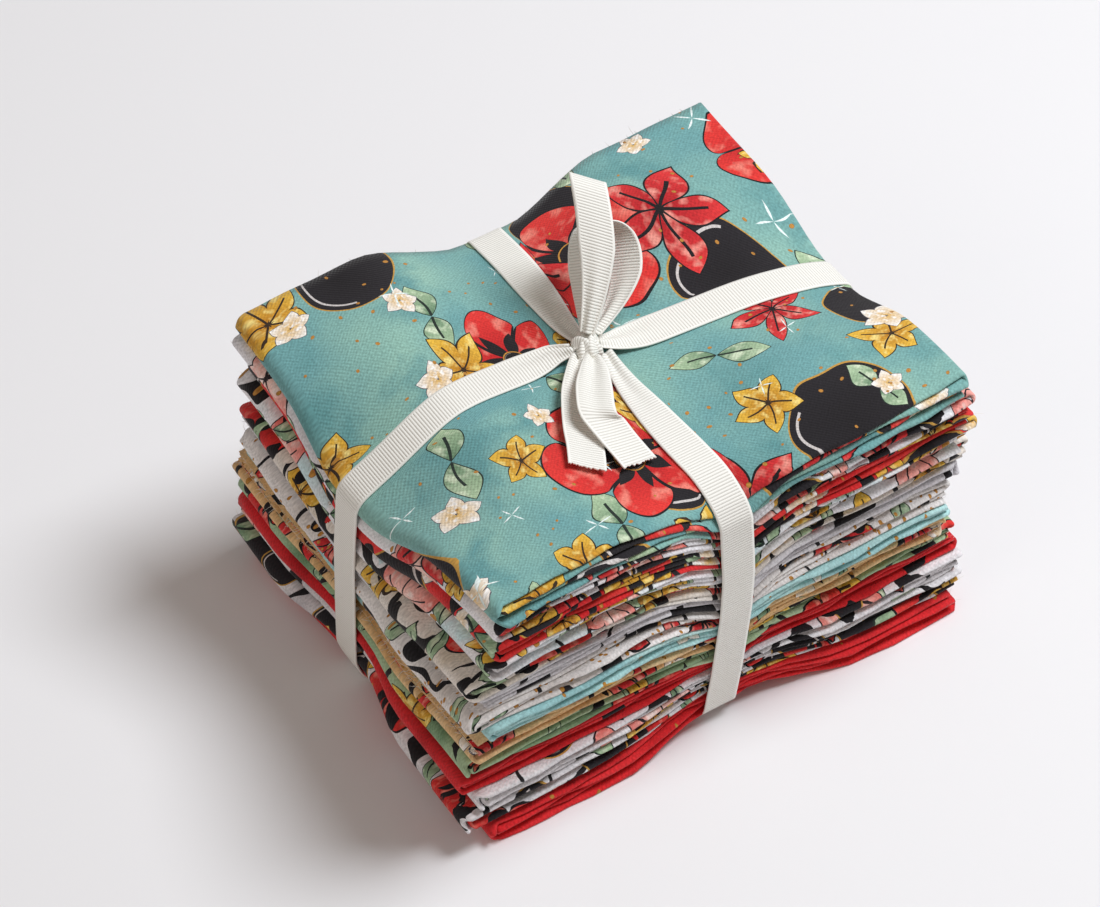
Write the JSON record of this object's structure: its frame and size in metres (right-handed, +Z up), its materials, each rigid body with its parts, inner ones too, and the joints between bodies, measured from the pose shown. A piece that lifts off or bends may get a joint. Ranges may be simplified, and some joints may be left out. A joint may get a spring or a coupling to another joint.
{
  "type": "fat quarter bundle",
  "caption": "Stack of folded printed cotton fat quarters tied both ways with a narrow off-white ribbon and a bow.",
  "frame": {"origin": "middle of the footprint, on the surface that the bundle rests on", "axes": "+X along the longer side, from the face with the outer folds to the face with the small loops, +Y from the front face to the back, +Z up"},
  "size_m": [0.1502, 0.1212, 0.1137],
  "materials": {
    "teal": "printed plain-weave cotton, teal with dark and coral motifs",
    "white_coral": "printed plain-weave cotton, pale with coral and black motifs",
    "red": "printed plain-weave cotton, red with black motifs",
    "white_leaf": "printed plain-weave cotton, white with green leaves",
    "white_red": "printed plain-weave cotton, white with red and yellow motifs",
    "grey": "printed plain-weave cotton, pale grey with small motifs",
    "white_gold": "printed plain-weave cotton, white with gold specks",
    "aqua": "printed plain-weave cotton, pale aqua",
    "beige": "printed plain-weave cotton, tan with leaves",
    "green_black": "printed plain-weave cotton, green and black leaves",
    "red_dark": "printed plain-weave cotton, red",
    "white_line": "printed plain-weave cotton, white with black lines",
    "black_red": "printed plain-weave cotton, black with red motifs",
    "bright_red": "printed plain-weave cotton, bright red with gold specks",
    "ribbon": "off-white grosgrain, fine ribs across"
  },
  "bodies": {
    "root": {"fat_quarter_01_teal": "teal", "fat_quarter_02_white_coral": "white_coral", "fat_quarter_03_red": "red", "fat_quarter_04_white_leaf": "white_leaf", "fat_quarter_05_white_red": "white_red", "fat_quarter_06_grey": "grey", "fat_quarter_07_white_gold": "white_gold", "fat_quarter_08_aqua": "aqua", "fat_quarter_09_beige": "beige", "fat_quarter_10_green_black": "green_black", "fat_quarter_11_red_dark": "red_dark", "fat_quarter_12_white_line": "white_line", "fat_quarter_13_black_red": "black_red", "fat_quarter_14_bright_red": "bright_red", "ribbon_band_across": "ribbon", "ribbon_band_along": "ribbon", "ribbon_knot": "ribbon", "ribbon_loop_tall": "ribbon", "ribbon_loop_round": "ribbon", "ribbon_tail_left": "ribbon", "ribbon_tail_right": "ribbon"}
  },
  "joints": []
}
